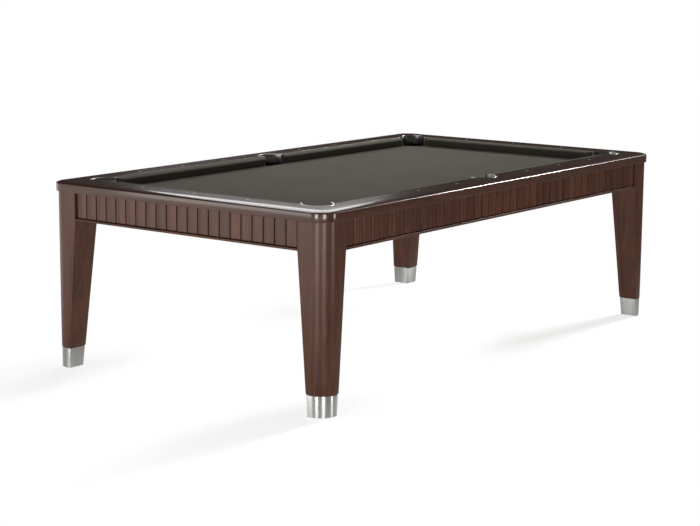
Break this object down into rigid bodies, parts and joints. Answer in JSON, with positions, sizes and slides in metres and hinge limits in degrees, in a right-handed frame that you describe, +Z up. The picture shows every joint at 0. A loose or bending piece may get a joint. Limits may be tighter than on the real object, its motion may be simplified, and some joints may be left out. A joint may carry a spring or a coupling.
{
  "type": "pool table",
  "caption": "Drop-pocket pool table in dark wood with a slate bed, charcoal cloth, slatted aprons, tapered legs with metal foot caps and screw levellers.",
  "frame": {"origin": "on the floor under the middle of the table", "axes": "+X along the table from the head end to the foot end, +Y across it to the left side as seen from the head end, +Z up"},
  "size_m": [2.5872, 1.4696, 0.8002],
  "materials": {
    "wood": "satin lacquered espresso-stained hardwood with visible grain",
    "frame_timber": "planed, unfinished",
    "cloth": "charcoal wool billiard cloth",
    "slate": "honed",
    "brushed_metal": "brushed",
    "rim_metal": "satin",
    "zinc_steel": "zinc plated",
    "leveller_steel": "zinc plated",
    "leather": "black, matt"
  },
  "bodies": {
    "table": {"apron_foot": "wood", "apron_head": "wood", "apron_left": "wood", "apron_right": "wood", "bed_cloth": "cloth", "corner_bracket_foot_left": "zinc_steel", "corner_bracket_foot_right": "zinc_steel", "corner_bracket_head_left": "zinc_steel", "corner_bracket_head_right": "zinc_steel", "cushion_foot": "cloth", "cushion_head": "cloth", "cushion_left_foot": "cloth", "cushion_left_head": "cloth", "cushion_right_foot": "cloth", "cushion_right_head": "cloth", "foot_cap_foot_left": "brushed_metal", "foot_cap_foot_right": "brushed_metal", "foot_cap_head_left": "brushed_metal", "foot_cap_head_right": "brushed_metal", "frame_beam_foot": "frame_timber", "frame_beam_head": "frame_timber", "frame_beam_left": "frame_timber", "frame_beam_right": "frame_timber", "frame_cross_1": "frame_timber", "frame_cross_2": "frame_timber", "frame_cross_3": "frame_timber", "frame_cross_4": "frame_timber", "leg_foot_left": "wood", "leg_foot_right": "wood", "leg_head_left": "wood", "leg_head_right": "wood", "moulding_foot": "wood", "moulding_head": "wood", "moulding_left": "wood", "moulding_right": "wood", "pocket_bag_foot_left": "leather", "pocket_bag_foot_right": "leather", "pocket_bag_head_left": "leather", "pocket_bag_head_right": "leather", "pocket_bag_side_left": "leather", "pocket_bag_side_right": "leather", "pocket_rim_foot_left": "rim_metal", "pocket_rim_foot_right": "rim_metal", "pocket_rim_head_left": "rim_metal", "pocket_rim_head_right": "rim_metal", "pocket_rim_side_left": "rim_metal", "pocket_rim_side_right": "rim_metal", "rail_foot": "wood", "rail_head": "wood", "rail_left": "wood", "rail_right": "wood", "slate_centre": "slate", "slate_foot": "slate", "slate_head": "slate"},
    "leveller_head_right": {"leveller_head_right": "leveller_steel"},
    "leveller_foot_right": {"leveller_foot_right": "leveller_steel"},
    "leveller_foot_left": {"leveller_foot_left": "leveller_steel"},
    "leveller_head_left": {"leveller_head_left": "leveller_steel"}
  },
  "joints": [
    {"name": "leveller_head_right_screw_out", "type": "slide", "parent": "table", "child": "leveller_head_right", "axis": [0, 0, -1], "range_m": [0, 0.012]},
    {"name": "leveller_foot_right_screw_out", "type": "slide", "parent": "table", "child": "leveller_foot_right", "axis": [0, 0, -1], "range_m": [0, 0.012]},
    {"name": "leveller_foot_left_screw_out", "type": "slide", "parent": "table", "child": "leveller_foot_left", "axis": [0, 0, -1], "range_m": [0, 0.012]},
    {"name": "leveller_head_left_screw_out", "type": "slide", "parent": "table", "child": "leveller_head_left", "axis": [0, 0, -1], "range_m": [0, 0.012]}
  ]
}
